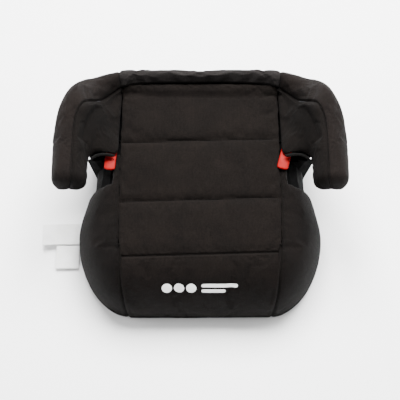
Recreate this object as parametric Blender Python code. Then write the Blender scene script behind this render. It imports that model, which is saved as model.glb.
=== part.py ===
"""Backless booster seat: a moulded shell, foam pads, a sewn cover and two swivelling belt guides.

Metres, +Z up. The origin is the middle of the base, on the surface that the seat stands on.
The front faces -Y, and the occupant's left arm is at +X.
"""
import math

import bpy
import bmesh
import numpy as np

# ---- Driving dimensions -------------------------------------------------------------
ARM_HALF = 0.2165       # half the width over the arms, which are the widest part
ARM_TOP = 0.2000        # height of the arms
RIM_TOP = 0.1460        # height of the low rim behind the seat
DECK_Z = 0.1180         # height of the seat panel
FRONT_Y = -0.1810       # lower front edge
TIP_Y = -0.0280         # front end of the arms
ROOT_Y = 0.0500         # where the arms leave the base, behind the belt path
WAIST_HALF = 0.1720     # half width of the base at the belt path
HIP_HALF = 0.1920       # half width of the base at its widest, further forward
HIP_Y = -0.0650
FRONT_HALF = 0.1120     # half width of the straight front edge
SEAM_HALF = 0.1225      # half width of the seat panel
BROW_Y = -0.0950        # where the seat panel starts to turn down at the front
SKIRT_Z = 0.0030        # lower edge of the cover, just above the floor
CLOTH = 0.0024          # laminated cover fabric
GAP = 0.0003            # clearance between touching pieces
SEAM_GAP = 0.0018       # clearance where cloth turns down beside a seam
WALL = 0.0028           # wall of the moulded shell
SEAT_FOAM = 0.0100
ARM_FOAM = 0.0050
PIVOT_X = 0.1350        # belt guide pivots, under the arms' inner faces
PIVOT_Y = 0.0620
GUIDE_Z = 0.1130        # underside of the guides' roots
GUIDE_REST_DEG = {"left": -15.0, "right": -4.0}

for old in list(bpy.data.objects):
    bpy.data.objects.remove(old)


# ---- Materials ----------------------------------------------------------------------
def material(name, colour, roughness, metallic=0.0):
    made = bpy.data.materials.new(name)
    made.use_nodes = True
    shader = made.node_tree.nodes["Principled BSDF"]
    shader.inputs["Base Color"].default_value = (*colour, 1.0)
    shader.inputs["Roughness"].default_value = roughness
    shader.inputs["Metallic"].default_value = metallic
    return made


SHELL_PLASTIC = material("shell_plastic", (0.012, 0.012, 0.013), 0.45)
FOAM = material("foam", (0.55, 0.53, 0.48), 0.95)
SEAT_CLOTH = material("seat_cloth", (0.020, 0.017, 0.015), 0.90)
SIDE_CLOTH = material("side_cloth", (0.014, 0.012, 0.011), 0.90)
BAND_CLOTH = material("band_cloth", (0.024, 0.024, 0.027), 0.85)
BINDING = material("binding", (0.010, 0.010, 0.010), 0.80)
GUIDE_PLASTIC = material("guide_plastic", (0.75, 0.025, 0.020), 0.35)
STEEL = material("steel", (0.45, 0.45, 0.46), 0.35, 1.0)
LABEL_TAPE = material("label_tape", (0.80, 0.80, 0.80), 0.70)


# ---- Small helpers ------------------------------------------------------------------
def ease(low, high, value):
    """0 below low, 1 above high, and smooth between."""
    share = min(1.0, max(0.0, (value - low) / (high - low)))
    return share * share * (3.0 - 2.0 * share)


def curve_through(points, share):
    """A smooth (Catmull-Rom) curve through points, at share 0 to 1 of its spans."""
    points = np.asarray(points, float)
    spans = len(points) - 1
    place = min(max(share, 0.0), 1.0) * spans
    k = min(int(place), spans - 1)
    u = place - k
    p1, p2 = points[k], points[k + 1]
    p0 = points[k - 1] if k else 2.0 * p1 - p2
    p3 = points[k + 2] if k + 2 <= spans else 2.0 * p2 - p1
    return 0.5 * (2 * p1 + (p2 - p0) * u + (2 * p0 - 5 * p1 + 4 * p2 - p3) * u ** 2
                  + (3 * p1 - p0 - 3 * p2 + p3) * u ** 3)


def quarter(angle, exponent):
    """Shares (along, up) of a quarter superellipse at an angle from 0 to a right angle."""
    return (math.sin(angle) ** (2.0 / exponent),
            max(0.0, math.cos(angle)) ** (2.0 / exponent))


def add_object(name, mesh, look):
    thing = bpy.data.objects.new(name, mesh)
    bpy.context.scene.collection.objects.link(thing)
    mesh.materials.append(look)
    return thing


def mesh_object(name, points, faces, look):
    mesh = bpy.data.meshes.new(name)
    shape = bmesh.new()
    made = [shape.verts.new(p) for p in points]
    for face in faces:
        shape.faces.new([made[i] for i in face])
    bmesh.ops.recalc_face_normals(shape, faces=shape.faces[:])
    bmesh.ops.triangulate(shape, faces=shape.faces[:])
    shape.to_mesh(mesh)
    shape.free()
    mesh.shade_smooth()
    mesh.set_sharp_from_angle(angle=math.radians(40))
    return add_object(name, mesh, look)


def grid_normals(grid):
    down = np.gradient(grid, axis=0)
    across = np.gradient(grid, axis=1)
    normal = np.cross(down, across)
    return normal / np.maximum(np.linalg.norm(normal, axis=2, keepdims=True), 1e-9)


def outward(grid, inside):
    """Normals of a grid of points, on the side away from a point inside the object."""
    normal = grid_normals(grid)
    if np.sum(normal * (grid - np.array(inside))) < 0:
        normal = -normal
    return normal


def trimmed(grid, trim):
    """The grid with its outer rows and columns pulled in, so that neighbours stay clear."""
    grid = grid.copy()
    for axis in (0, 1):
        for edge, inner in ((0, 1), (-1, -2)):
            a = grid[edge] if axis == 0 else grid[:, edge]
            b = grid[inner] if axis == 0 else grid[:, inner]
            step = b - a
            length = np.maximum(np.linalg.norm(step, axis=1, keepdims=True), 1e-9)
            moved = a + step * np.minimum(1.0, trim / length)
            if axis == 0:
                grid[edge] = moved
            else:
                grid[:, edge] = moved
    return grid


def skin(name, grid, normal, top, bottom, look, keep=None, trim=GAP, mirror=False):
    """A closed slab between two depths below a grid of points, where keep(i, j) is true."""
    grid = trimmed(grid, trim)
    rows, columns = grid.shape[:2]
    depth_of = (lambda d: d if callable(d) else (lambda i, j: d))
    top, bottom = depth_of(top), depth_of(bottom)
    flip = np.array([-1.0, 1.0, 1.0]) if mirror else np.ones(3)
    cells = [(i, j) for i in range(rows - 1) for j in range(columns - 1)
             if keep is None or keep(i, j)]
    index, points = {}, []
    for i, j in sorted({(i + a, j + b) for i, j in cells for a in (0, 1) for b in (0, 1)}):
        index[i, j] = len(points)
        points.append((grid[i, j] - normal[i, j] * top(i, j)) * flip)
        points.append((grid[i, j] - normal[i, j] * bottom(i, j)) * flip)
    faces, borders = [], {}
    for i, j in cells:
        loop = [index[i, j], index[i + 1, j], index[i + 1, j + 1], index[i, j + 1]]
        faces.append(loop)
        faces.append([n + 1 for n in reversed(loop)])
        for a, b in zip(loop, loop[1:] + loop[:1]):
            if (b, a) in borders:
                del borders[b, a]
            else:
                borders[a, b] = True
    faces += [[b, a, a + 1, b + 1] for a, b in borders]
    return mesh_object(name, points, faces, look)


def tube(name, path, radius, look, sides=8):
    """A round cord or rolled edge along a path, with flat ends."""
    path = np.array(path)
    along = np.gradient(path, axis=0)
    along /= np.linalg.norm(along, axis=1, keepdims=True)
    rings = []
    for place, way in zip(path, along):
        side = np.cross(way, (0.0, 0.0, 1.0))
        side /= np.linalg.norm(side)
        up = np.cross(side, way)
        rings.append([tuple(place + radius * (side * math.cos(t) + up * math.sin(t)))
                      for t in (k * math.tau / sides for k in range(sides))])
    return loft(name, rings, look)


def loft(name, rings, look):
    """A closed solid through rings that all have the same number of points."""
    count = len(rings[0])
    points = [p for ring in rings for p in ring]
    faces = []
    for r in range(len(rings) - 1):
        for k in range(count):
            n = (k + 1) % count
            faces.append([r * count + k, r * count + n, (r + 1) * count + n, (r + 1) * count + k])
    faces.append(list(range(count)))
    faces.append([(len(rings) - 1) * count + k for k in range(count)])
    return mesh_object(name, points, faces, look)


# ---- The seat's outer surface ---------------------------------------------------------
def base_outline(share):
    """Lower edge of the cover from the front corner (0) back to the waist (1), as (x, y)."""
    corner_share = 0.6
    if share < corner_share:
        angle = share / corner_share * math.pi / 2
        sideways, forward = quarter(angle, 1.8)
        return (FRONT_HALF + (HIP_HALF - FRONT_HALF) * sideways,
                HIP_Y + (FRONT_Y - HIP_Y) * forward)
    along = (share - corner_share) / (1 - corner_share)
    y = HIP_Y + (ROOT_Y + 0.002 - HIP_Y) * along
    return HIP_HALF + (WAIST_HALF - HIP_HALF) * ease(0.0, 0.85, along), y


def panel_half(drop):
    """Half width of the seat panel, which narrows as it drops over the front."""
    return SEAM_HALF + (FRONT_HALF - SEAM_HALF) * drop


def seam_line(share):
    """Seam beside the seat panel, from its front corner (0) back to the belt path (1)."""
    back = max(0.0, (share - 0.45) / 0.55)
    y = BROW_Y + 0.012 * min(1.0, share / 0.45) + (ROOT_Y - BROW_Y - 0.012) * back
    return panel_half(0.15 * ease(-0.05, BROW_Y, y)), y


def side_surface(share, fall):
    """Side of the base: share runs from the front corner to the waist, fall 0 to 1 down."""
    away, up = quarter(fall * math.pi / 2, 2.3)
    top_x, top_y = seam_line(share)
    low_x, low_y = base_outline(share)
    x = top_x + (low_x - top_x) * away
    at_seam = max(0.0, 1.0 - share / 0.08)
    return np.array([x + (panel_half(0.15 + 0.85 * fall) - x) * at_seam,
                     top_y + (low_y - top_y) * away,
                     SKIRT_Z + (DECK_Z - SKIRT_Z) * up])


DECK_SHARE = 0.62       # share of the seat panel's length that lies on the deck


def panel_path(share):
    """Middle of the seat panel as (y, z, drop), from the rear rim (0) to the front edge (1)."""
    if share < DECK_SHARE:
        y = 0.1640 + (BROW_Y - 0.1640) * share / DECK_SHARE
        return y, DECK_Z + 0.012 * ease(0.145, 0.164, y), 0.15 * ease(-0.05, BROW_Y, y)
    fall = (share - DECK_SHARE) / (1 - DECK_SHARE)
    away, up = quarter(fall * math.pi / 2, 2.3)
    return (BROW_Y + (FRONT_Y - BROW_Y) * away, SKIRT_Z + (DECK_Z - SKIRT_Z) * up,
            0.15 + 0.85 * fall)


def seat_surface(share, across, widen=0.0):
    y, z, drop = panel_path(share)
    return np.array([(panel_half(drop) + widen) * across, y, z])


# The band is the top of the horseshoe: it runs from an arm's tip back and round to the rear.
# Its inner edge is a seam, given here by the places it passes through, tip first.
BAND_SEAM = [(0.1815, -0.010), (0.1820, 0.015), (0.1820, 0.045), (0.1785, 0.082),
             (0.1600, 0.1155), (0.1230, 0.1560), (0.0600, 0.1635), (0.0, 0.1640)]
# Its outer line round the rear corner, from the arm's root to the middle of the rear.
OUTER_LINE = [(ARM_HALF, ROOT_Y), (0.2132, 0.0880), (0.2030, 0.1205), (0.1850, 0.1475),
              (0.1600, 0.1712), (0.1263, 0.1836), (0.0822, 0.1842), (0.0, 0.1828)]
STRAIGHT = 6                    # stations along the arm, and then shares of the turn behind it
TURN_SHARES = [0.0, 0.0035] + [k / 15 for k in range(1, 16)]
REAR_CORNER = (0.6, 5 / 7)      # the rear corner's share along the seam and the outer line
TIP_STEPS = 4                   # sections in the arm's rounded front end


def band_stations():
    """Plan points (inner seam, outer line) for each station from the tip to the middle rear."""
    stations = []
    for k in range(STRAIGHT):
        share = k / STRAIGHT
        y = -0.010 + (ROOT_Y + 0.010) * share
        stations.append((curve_through(BAND_SEAM[:3], share * 1.02), (ARM_HALF, y)))
    for share in TURN_SHARES:
        outer_share = float(np.interp(share, (0.0, REAR_CORNER[0], 1.0), (0.0, REAR_CORNER[1], 1.0)))
        stations.append((curve_through(BAND_SEAM[2:], share), curve_through(OUTER_LINE, outer_share)))
    return stations


ARM_PROFILE = [(0.0, -0.0025), (0.35, 0.0), (0.72, -0.0055), (0.94, -0.018),
               (1.0, -0.034), (0.955, -0.048)]
RIM_PROFILE = [(0.0, -0.016), (0.3, -0.004), (0.55, 0.0), (0.85, -0.003),
               (1.0, -0.010), (1.0, -0.024)]


def arm_raise(x):
    """1 on the arms and 0 on the rear rim, by the distance out to the band's outer line."""
    return ease(0.150, 0.200, x)


def band_row(station):
    """Points across the band at a station, from the inner seam out and down."""
    (sx, sy), (ox, oy) = station
    raised = arm_raise(ox)
    top = RIM_TOP + (ARM_TOP - RIM_TOP) * raised
    row = []
    for (qa, za), (qr, zr) in zip(ARM_PROFILE, RIM_PROFILE):
        q = qr + (qa - qr) * raised
        z = zr + (za - zr) * raised
        row.append((sx + (ox - sx) * q, sy + (oy - sy) * q, top + z))
    return row


# Lower edge of the arm's inner face: along the free arm, over the belt path as an arch,
# then along the seat panel's seam to the rear corner.
INNER_EDGE = [(0.1650, -0.010, 0.1540), (0.1650, 0.012, 0.1500), (0.1655, 0.0300, 0.1430),
              (0.1570, 0.0405, 0.1385), (0.1430, 0.0440, 0.1350), (0.1300, 0.0440, 0.1310),
              (0.1232, 0.0520, 0.1270), (0.1226, 0.0780, 0.1190), (0.1225, 0.1120, 0.1180),
              (0.1228, 0.1540, 0.1270)]
SLOPE_ROOT = [(0.0, 0.0), (0.15, 0.11), (0.27, 0.41), (0.45, 0.74), (1.0, 1.0)]
SLOPE_FREE = [(0.0, 0.0), (0.50, 0.13), (0.85, 0.36), (1.0, 0.66), (1.0, 1.0)]


def inner_row(seam, edge, free):
    row = []
    for (ar, br), (af, bf) in zip(SLOPE_ROOT, SLOPE_FREE):
        a = ar + (af - ar) * free
        b = br + (bf - br) * free
        row.append((seam[0] + (edge[0] - seam[0]) * a, seam[1] + (edge[1] - seam[1]) * a,
                    seam[2] + (edge[2] - seam[2]) * b))
    return row[::-1]


STATIONS = band_stations()
CORNER = next(k for k, station in enumerate(STATIONS) if station[0][0] < 0.124)
BAND = np.array([band_row(s) for s in STATIONS])
INNER_COLUMNS = len(SLOPE_ROOT)


def horseshoe():
    """Rows from the tip to the rear corner across the inner face and the band together."""
    rows = []
    for k in range(CORNER + 1):
        share = k / CORNER
        edge = curve_through(INNER_EDGE, share ** 0.9)
        free = 1.0 - ease(0.02, 0.06, STATIONS[k][1][1])
        rows.append(inner_row(BAND[k][0], edge, free) + [tuple(p) for p in BAND[k][1:]])
    return np.array(rows)


def tip_rows(first_row, length, steps=TIP_STEPS):
    """Sections that shrink towards the arm's rounded front end."""
    centre = np.array([0.1905, 0.0, 0.1630])
    rows = []
    for k in range(steps, 0, -1):
        share = math.sin(k / steps * math.radians(88))
        scale = (1.0 - share ** 2.4) ** (1 / 2.4)
        row = (first_row - centre) * (scale, 0.0, scale) + centre
        row[:, 1] = -0.010 - length * share
        rows.append(row)
    return np.array(rows)


SHOE = horseshoe()
SHOE = np.concatenate([tip_rows(SHOE[0], -0.010 - TIP_Y), SHOE])
SHOE_NORMAL = outward(SHOE, (0.19, 0.05, 0.10))


WALL_ROOT = [(0.0, 0.0), (0.86, 0.22), (1.06, 0.55), (1.0, 1.0)]
WALL_REAR = [(0.0, 0.0), (0.28, 0.36), (0.62, 0.70), (1.0, 1.0)]


def wall_profile(y, root, rear):
    """Shares (towards the foot, down) of a wall, which is drawn in under an arm's root."""
    turned = ease(0.05, 0.105, y)
    return [(a + (c - a) * turned, b + (d - b) * turned)
            for (a, b), (c, d) in zip(root, rear)]


def wall_foot(share):
    """Foot of the rear walls from the arm's root (0) round to the middle of the back (1)."""
    out, back = quarter(math.pi / 2 * (1 - share), 3.2)
    return WAIST_HALF * out, ROOT_Y + (0.1700 - ROOT_Y) * back


# ---- Sewn cover -------------------------------------------------------------------------
SIDES = {"left": False, "right": True}
SHARES = [0.0, 0.1, 0.2, 0.3, 0.4, 0.5, 0.6, 0.7, 0.81, 0.9, 1.0]
FALLS = [0.0, 0.12, 0.3, 0.5, 0.7, 0.86, 1.0]
NOTCH_ROW, STRIP_COLUMN = 8, 1      # the belt path's notch, outside a strip beside the seam
PANEL_ROWS = [0.0, 0.06, 0.15, 0.3, 0.45, 0.56] + [DECK_SHARE + (1 - DECK_SHARE) * f for f in FALLS]


def seat_panel():
    grid = np.array([[seat_surface(r, c / 3) for c in range(-3, 4)] for r in PANEL_ROWS])
    skin("seat_panel", grid, outward(grid, (0, 0, 0)), 0.0, CLOTH, SEAT_CLOTH, trim=SEAM_GAP)


def side_panels():
    grid = np.array([[side_surface(share, fall) for fall in FALLS] for share in SHARES])
    normal = outward(grid, (0, 0, 0))

    def keep(i, j):
        return i < NOTCH_ROW or j < STRIP_COLUMN

    for side, mirror in SIDES.items():
        skin(f"side_panel_{side}", grid, normal, 0.0, CLOTH, SIDE_CLOTH, keep, SEAM_GAP, mirror)


def arm_covers():
    seam = INNER_COLUMNS - 1
    for side, mirror in SIDES.items():
        skin(f"arm_inner_panel_{side}", SHOE[:, :seam + 1], SHOE_NORMAL[:, :seam + 1],
             0.0, CLOTH, SIDE_CLOTH, trim=3 * GAP, mirror=mirror)
        skin(f"arm_band_{side}", SHOE[:, seam:], SHOE_NORMAL[:, seam:],
             0.0, CLOTH, BAND_CLOTH, trim=3 * GAP, mirror=mirror)


def both_sides(rows):
    """Rows that end at the middle, followed by their mirror image."""
    mirrored = rows[-2::-1] * np.array([-1.0, 1.0, 1.0])
    return np.concatenate([rows, mirrored])


RIM = both_sides(BAND[CORNER - 1:])
RIM_NORMAL = outward(RIM, (0, 0, 0))
SHOE_NORMAL[-1, INNER_COLUMNS - 1:] = RIM_NORMAL[1]


def rear_rim_strip():
    skin("rear_rim_strip", RIM[1:-1], RIM_NORMAL[1:-1], 0.0, CLOTH, BAND_CLOTH, trim=6 * GAP)


def wall_rows():
    """Rows down the rear walls, from the arm's root round to the middle of the back."""
    rows = []
    for k, share in enumerate(TURN_SHARES):
        top = BAND[STRAIGHT + k][-1]
        foot = wall_foot(share)
        rows.append([(top[0] + (foot[0] - top[0]) * a, top[1] + (foot[1] - top[1]) * a,
                      top[2] + (SKIRT_Z - top[2]) * d)
                     for a, d in wall_profile(top[1], WALL_ROOT, WALL_REAR)])
    return np.array(rows)


WALL_ROWS = wall_rows()
BACK_START = len(TURN_SHARES) - 7


def wall_covers():
    walls = both_sides(WALL_ROWS)
    normal = outward(walls, (0, 0, 0.05))
    for side, mirror in SIDES.items():
        skin(f"outer_side_panel_{side}", walls[:BACK_START + 1], normal[:BACK_START + 1],
             0.0, CLOTH, SIDE_CLOTH, trim=3 * GAP, mirror=mirror)
    back = slice(BACK_START, len(walls) - BACK_START)
    skin("back_panel", walls[back], normal[back], 0.0, CLOTH, SIDE_CLOTH, trim=3 * GAP)


HEM_RADIUS = 0.0021
HEM_OFFSET = 0.0022     # from the inner panel's edge to the middle of the hem


def hem_path(mirror):
    """Middle of the rolled hem that arches over the belt path at an arm's root."""
    path = []
    for k in range(15):
        share = 0.19 + 0.37 * k / 14
        place = curve_through(INNER_EDGE, share)
        way = curve_through(INNER_EDGE, share + 0.01) - place
        away = HEM_OFFSET / math.hypot(way[0], way[1])
        x, y, z = place + (-way[1] * away, way[0] * away, -0.0012)
        path.append(((-1.0 if mirror else 1.0) * x, y, z))
    return path


def belt_hems():
    for side, mirror in SIDES.items():
        tube(f"belt_hem_{side}", hem_path(mirror), HEM_RADIUS, BINDING)


# ---- Foam ---------------------------------------------------------------------------------
def seat_foam():
    rows = PANEL_ROWS[1:-2]
    grid = np.array([[seat_surface(r, c / 3, -0.004) for c in range(-3, 4)] for r in rows])

    def bottom(i, j):
        return CLOTH + GAP + SEAT_FOAM * (1.0 - 0.75 * ease(0.6, 0.82, rows[i]))

    skin("seat_foam", grid, outward(grid, (0, 0, 0)), CLOTH + GAP, bottom, FOAM)


def arm_foams():
    rows, columns = slice(TIP_STEPS, -2), slice(3, 9)
    grid = SHOE[rows, columns]
    top = CLOTH + 4 * GAP

    def bottom(i, j):
        middle = 0.2 if j in (0, grid.shape[1] - 1) else 1.0
        return top + ARM_FOAM * middle * arm_raise(SHOE[rows][i][-1][0])

    for side, mirror in SIDES.items():
        skin(f"arm_foam_{side}", grid, SHOE_NORMAL[rows, columns], top, bottom, FOAM, mirror=mirror)


# ---- Moulded shell ------------------------------------------------------------------------
FLOOR_CUT = 0.012       # the shell's solids run this far below the floor before they are cut
RIM_DEPTH = 0.0064
SHELL_ROOT = [(0.0, 0.0), (1.00, 0.19), (1.18, 0.55), (1.0, 1.0)]
SHELL_REAR = [(0.0, 0.0), (0.36, 0.36), (0.70, 0.70), (1.0, 1.0)]
SHELL_DEPTHS = np.array([3.4, 3.4, 4.4, 6.6, 9.4, 9.6, 9.4, 9.4, 6.6, 3.8]) / 1000


def tub(name, inset, deck_z, floor_z):
    """The base of the shell as a solid, without the arms."""
    falls = [0.0, 0.2, 0.4, 0.6, 0.8, 1.0]
    rings = []
    for fall in falls:
        half = [side_surface(0.0, fall) * np.array([x, 1, 1]) for x in (0.0, 0.6)]
        half += [side_surface(share, fall) for share in SHARES]
        away, up = quarter(fall * math.pi / 2, 2.3)
        top, foot = SEAM_HALF, WAIST_HALF - 0.010
        for y, share in ((0.090, 1.0), (0.118, 0.94), (0.140, 0.82), (0.151, 0.66), (0.155, 0.0)):
            half.append(np.array([share * (top + (foot - top) * away), y, half[0][2]]))
        shrink = 1.0 - inset / 0.165
        ring = [(p[0] * shrink, p[1] * shrink, floor_z + (deck_z - floor_z) * up) for p in half]
        ring += [(-x, y, z) for x, y, z in ring[-2:0:-1]]
        rings.append(ring)
    below = [(x, y, floor_z - FLOOR_CUT) for x, y, z in rings[-1]]
    return loft(name, rings + [below], SHELL_PLASTIC)


def toward_middle(point, distance):
    """The point moved over the floor towards the middle of the base."""
    reach = math.hypot(point[0], point[1])
    share = 1.0 - distance / reach
    return np.array([point[0] * share, point[1] * share, point[2]])


def hollow_top(k, extra):
    """A level row across the top of the hollow behind the seat, where the rim stays solid."""
    top, foot = BAND[k][-1], wall_foot(TURN_SHARES[k - STRAIGHT])
    z = 0.0940
    down = (top[2] - z) / (top[2] - SKIRT_Z)
    shrink = 1.0 - (0.0034 + extra) / 0.165
    outer = np.array([(top[0] + (foot[0] - top[0]) * down) * shrink,
                      (top[1] + (foot[1] - top[1]) * down) * shrink, z])
    inner = toward_middle((*BAND[k][0][:2], z), 0.015)
    return np.array([inner + (outer - inner) * c / 9 for c in range(10)])


def arm_solid(name, extra, drop, root):
    """The horseshoe of both arms and the rear rim as a solid, extra deeper than the shell.

    It reaches the floor from the root station on, and is open under the arms before that.
    """
    grid = [list(row) for row in SHOE[TIP_STEPS:-1]]
    for k in range(STRAIGHT):
        for c in range(INNER_COLUMNS - 1):
            x, y, z = grid[k][c]
            grid[k][c] = (max(x, 0.1660), BAND[k][0][1], max(z, 0.1520 + 0.009 * c))
    for k in range(CORNER, len(BAND)):
        seam = BAND[k][0]
        inner = [(seam[0] * 0.98, seam[1] - back, z) for back, z in
                 ((0.002, 0.098), (-0.001, 0.105), (-0.003, 0.111), (-0.004, 0.116))]
        grid.append(inner + [tuple(p) for p in BAND[k]])
    grid = np.array(grid)
    normal = outward(grid, (0.19, 0.05, 0.10))
    raised = np.array([arm_raise(row[-1][0]) for row in grid])
    thin = RIM_DEPTH
    depths = thin + (SHELL_DEPTHS - thin)[None, :] * raised[:, None] + extra
    rows = grid - normal * depths[:, :, None]
    if extra:
        for k in range(STRAIGHT + 1, len(rows)):
            rows[k] += (hollow_top(k, extra) - rows[k]) * (1.0 - raised[k])
    rows = np.concatenate([tip_rows(rows[0], -0.010 - TIP_Y - 0.0045 - extra), rows])
    rings = []
    for k, row in enumerate(rows):
        outer = row[-1].copy()
        station = k - TIP_STEPS - STRAIGHT
        if station < root:
            inner = row[0] - (0.0, 0.0, 0.004 + drop)
            outer[2] -= 0.001 + drop
            wall = [outer + (inner - outer) * share for share in (0.70, 0.78)]
            under = outer + (inner - outer) * 0.93
            outer = outer + (inner - outer) * 0.86
        else:
            row[0] = toward_middle(row[0], 0.010)
            row[0][2] = 0.098 - extra
            inner = row[0].copy()
            inner[2] = -FLOOR_CUT
            foot = wall_foot(TURN_SHARES[station])
            shrink = 1.0 - (0.0034 + extra) / 0.165
            outer[:] = (foot[0] * shrink, foot[1] * shrink, 0.0)
            under = outer - (0.0, 0.0, FLOOR_CUT)
            profile = wall_profile(BAND[station + STRAIGHT][-1][1], SHELL_ROOT, SHELL_REAR)
            wall = [row[-1] + (outer - row[-1]) * (a, a, d) for a, d in profile[1:3]]
        rings.append([tuple(p) for p in (inner, *row, *wall, outer, under)])
    mirrored = [[(-x, y, z) for x, y, z in ring] for ring in rings[-2::-1]]
    return loft(name, rings + mirrored, SHELL_PLASTIC)


def cylinder(name, radius, low, high, place, look=SHELL_PLASTIC, sides=16):
    mesh = bpy.data.meshes.new(name)
    shape = bmesh.new()
    bmesh.ops.create_cone(shape, cap_ends=True, segments=sides, radius1=radius, radius2=radius,
                          depth=high - low)
    bmesh.ops.translate(shape, verts=shape.verts[:], vec=(0, 0, (low + high) / 2))
    shape.to_mesh(mesh)
    shape.free()
    mesh.shade_smooth()
    mesh.set_sharp_from_angle(angle=math.radians(40))
    thing = add_object(name, mesh, look)
    thing.location = (place[0], place[1], 0.0)
    return thing


def box(name, low, high):
    corners = [(x, y, z) for x in (low[0], high[0]) for y in (low[1], high[1])
               for z in (low[2], high[2])]
    faces = [(0, 1, 3, 2), (4, 6, 7, 5), (0, 4, 5, 1), (2, 3, 7, 6), (0, 2, 6, 4), (1, 5, 7, 3)]
    return mesh_object(name, corners, faces, SHELL_PLASTIC)


def combine(target, tool, operation):
    change = target.modifiers.new(operation.lower(), "BOOLEAN")
    change.operation = operation
    change.solver = "MANIFOLD"
    change.object = tool
    tool.hide_render = True
    tool.display_type = "WIRE"


RIB = 0.0030
RIB_FOOT = 0.012
POST_HALF = 0.018
LONG_RIBS = (-0.062, 0.062)
CROSS_RIBS = (-0.085, 0.0, 0.085)


def seat_shell():
    shell = tub("seat_shell", 0.0034, 0.1045, 0.0)
    combine(shell, arm_solid("arm_outside", 0.0, 0.0, 0), "UNION")
    inside = tub("tub_inside", 0.0034 + WALL, 0.1045 - WALL, 0.0)
    combine(inside, arm_solid("arm_inside", WALL, 0.03, 1), "UNION")
    for k, x in enumerate(LONG_RIBS):
        rib = box(f"long_rib_{k}", (x - RIB / 2, -0.3, RIB_FOOT), (x + RIB / 2, 0.3, 0.3))
        combine(inside, rib, "DIFFERENCE")
    for k, y in enumerate(CROSS_RIBS):
        rib = box(f"cross_rib_{k}", (-0.15, y - RIB / 2, RIB_FOOT), (0.15, y + RIB / 2, 0.3))
        combine(inside, rib, "DIFFERENCE")
    post = box("centre_post", (-POST_HALF, -POST_HALF, -0.1), (POST_HALF, POST_HALF, 0.3))
    combine(inside, post, "DIFFERENCE")
    combine(shell, inside, "DIFFERENCE")
    for side, mirror in SIDES.items():
        flip = -1.0 if mirror else 1.0
        ends = sorted((flip * 0.1180, flip * 0.1705))
        combine(shell, box(f"arch_{side}", (ends[0], 0.0200, 0.1150), (ends[1], 0.0605, 0.1510)),
                "DIFFERENCE")
        place = (-PIVOT_X if mirror else PIVOT_X, PIVOT_Y)
        low = (place[0] - 0.0155, 0.0445, 0.0920)
        high = (place[0] + 0.0155, 0.0770, 0.1080)
        combine(shell, box(f"guide_seat_{side}", low, high), "UNION")
        low = (place[0] - 0.0165, 0.0300, 0.1050)
        high = (place[0] + 0.0165, 0.0745, 0.1600)
        combine(shell, box(f"guide_pocket_{side}", low, high), "DIFFERENCE")
        combine(shell, cylinder(f"guide_post_{side}", 0.0056, 0.0990, 0.1115, place), "UNION")
        combine(shell, cylinder(f"screw_hole_{side}", 0.0017, 0.0700, 0.1300, place), "DIFFERENCE")
    grid = np.array([[seat_surface(r, c / 3, 0.002) for c in range(-3, 4)] for r in PANEL_ROWS[:4]])
    grid[0, :, 1] += 0.002
    recess = skin("panel_recess", grid, outward(grid, (0, 0, 0)), -0.0010, CLOTH + 0.0018,
                  SHELL_PLASTIC, trim=0.0)
    combine(shell, recess, "DIFFERENCE")
    combine(shell, box("floor", (-0.5, -0.5, -0.2), (0.5, 0.5, 0.0)), "DIFFERENCE")


# ---- Belt guides ---------------------------------------------------------------------------
GUIDE_HALF = 0.0084
GUIDE_THICK = 0.0034


def belt_guides():
    """Red tongues that turn on a screw behind the belt path and lie over the cover's strip."""
    spine = [(0.0080, 0.0, 0.45), (0.0055, 0.0, 0.85), (0.0, 0.0, 1.0), (-0.0060, 0.0, 1.0),
             (-0.0080, 0.0012, 1.0), (-0.0115, 0.0056, 1.0), (-0.0145, 0.0066, 1.0),
             (-0.0270, 0.0072, 1.0), (-0.0370, 0.0068, 0.96), (-0.0395, 0.0062, 0.6)]
    for side, mirror in SIDES.items():
        grid = np.array([[(GUIDE_HALF * wide * c / 2, y, GUIDE_Z + GUIDE_THICK + z
                           - 0.0010 * (c / 2) ** 2) for c in range(-2, 3)]
                         for y, z, wide in spine])
        guide = skin(f"belt_guide_{side}", grid, outward(grid, (0, -0.015, 0)), 0.0,
                     lambda i, j: GUIDE_THICK - 0.0010 * ((j - 2) / 2) ** 2, GUIDE_PLASTIC, trim=0.0)
        place = (-PIVOT_X if mirror else PIVOT_X, PIVOT_Y)
        guide.location = (*place, 0.0)
        guide.rotation_euler = (0.0, 0.0, math.radians(GUIDE_REST_DEG[side]))
        hole = cylinder(f"guide_hole_{side}", 0.0018, 0.100, 0.130, place)
        combine(guide, hole, "DIFFERENCE")
        washer = cylinder(f"guide_washer_{side}", 0.0050, 0.1118, 0.1126, place, STEEL)
        combine(washer, hole, "DIFFERENCE")
        screw(side, place)


def screw(side, place):
    """Pan-head screw that holds a guide to the shell's post."""
    profile = [(0.0, 0.1184), (0.0026, 0.1182), (0.0034, 0.1172), (0.0034, 0.1168),
               (0.00145, 0.1168), (0.00145, 0.0890), (0.0, 0.0890)]
    sides = 12
    points = [(0.0, 0.0, profile[0][1])]
    rings = profile[1:-1]
    for radius, z in rings:
        points += [(radius * math.cos(k * math.tau / sides), radius * math.sin(k * math.tau / sides), z)
                   for k in range(sides)]
    points.append((0.0, 0.0, profile[-1][1]))
    faces = [[0, 1 + k, 1 + (k + 1) % sides] for k in range(sides)]
    for r in range(len(rings) - 1):
        for k in range(sides):
            a, b = 1 + r * sides + k, 1 + r * sides + (k + 1) % sides
            faces.append([a, a + sides, b + sides, b])
    last = 1 + (len(rings) - 1) * sides
    faces += [[last + (k + 1) % sides, last + k, len(points) - 1] for k in range(sides)]
    thing = mesh_object(f"guide_screw_{side}", points, faces, STEEL)
    thing.location = (*place, 0.0)


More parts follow.
